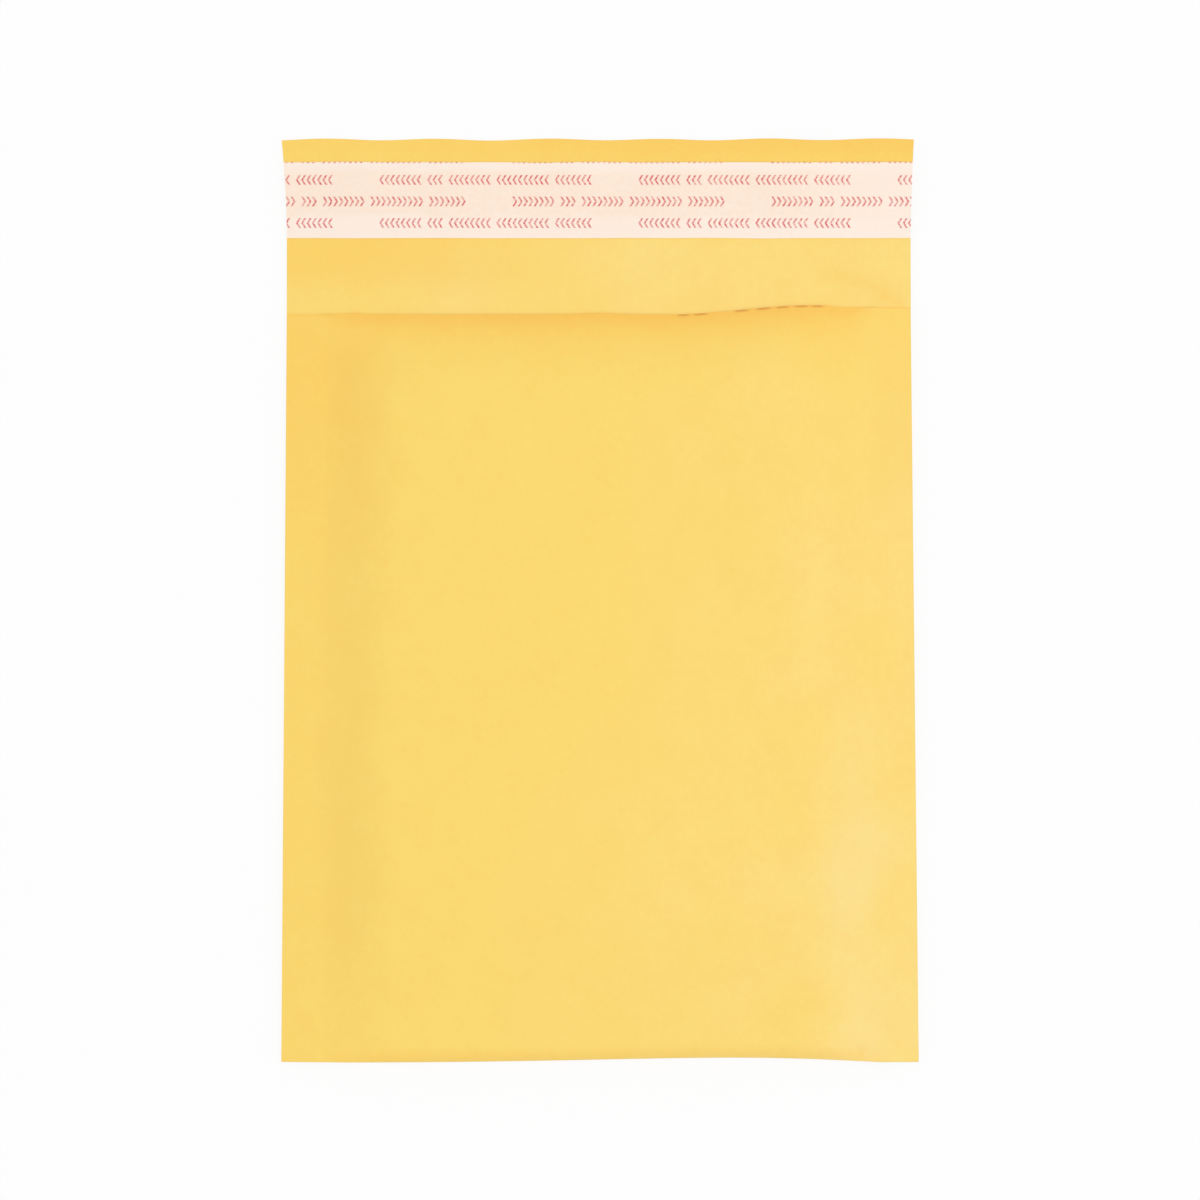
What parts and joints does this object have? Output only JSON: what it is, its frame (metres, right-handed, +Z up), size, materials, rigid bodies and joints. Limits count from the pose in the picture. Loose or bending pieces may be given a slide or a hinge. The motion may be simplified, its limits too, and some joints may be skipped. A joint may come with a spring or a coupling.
{
  "type": "bubble mailer",
  "caption": "Padded kraft mailing envelope lined with bubble film, lying on its back with its flap open and the release liner still over the adhesive band.",
  "frame": {"origin": "centre of the outline on the surface the mailer lies on, under the flat back panel", "axes": "+Z up out of the front panel, +Y from the bottom fold along the mailer to the flap's free edge, +X to the right when the front is seen with the flap at the top"},
  "size_m": [0.1516, 0.2198, 0.0127],
  "materials": {
    "kraft_paper": "matt golden kraft paper",
    "bubble_film": "clear low-density polyethylene bubble film",
    "hot_melt_adhesive": "pale amber pressure-sensitive hot melt",
    "release_liner": "satin silicone-coated release paper, faint red print"
  },
  "bodies": {
    "root": {"kraft_paper": "kraft_paper", "bubble_lining": "bubble_film", "adhesive_strip": "hot_melt_adhesive", "release_liner": "release_liner"}
  },
  "joints": []
}
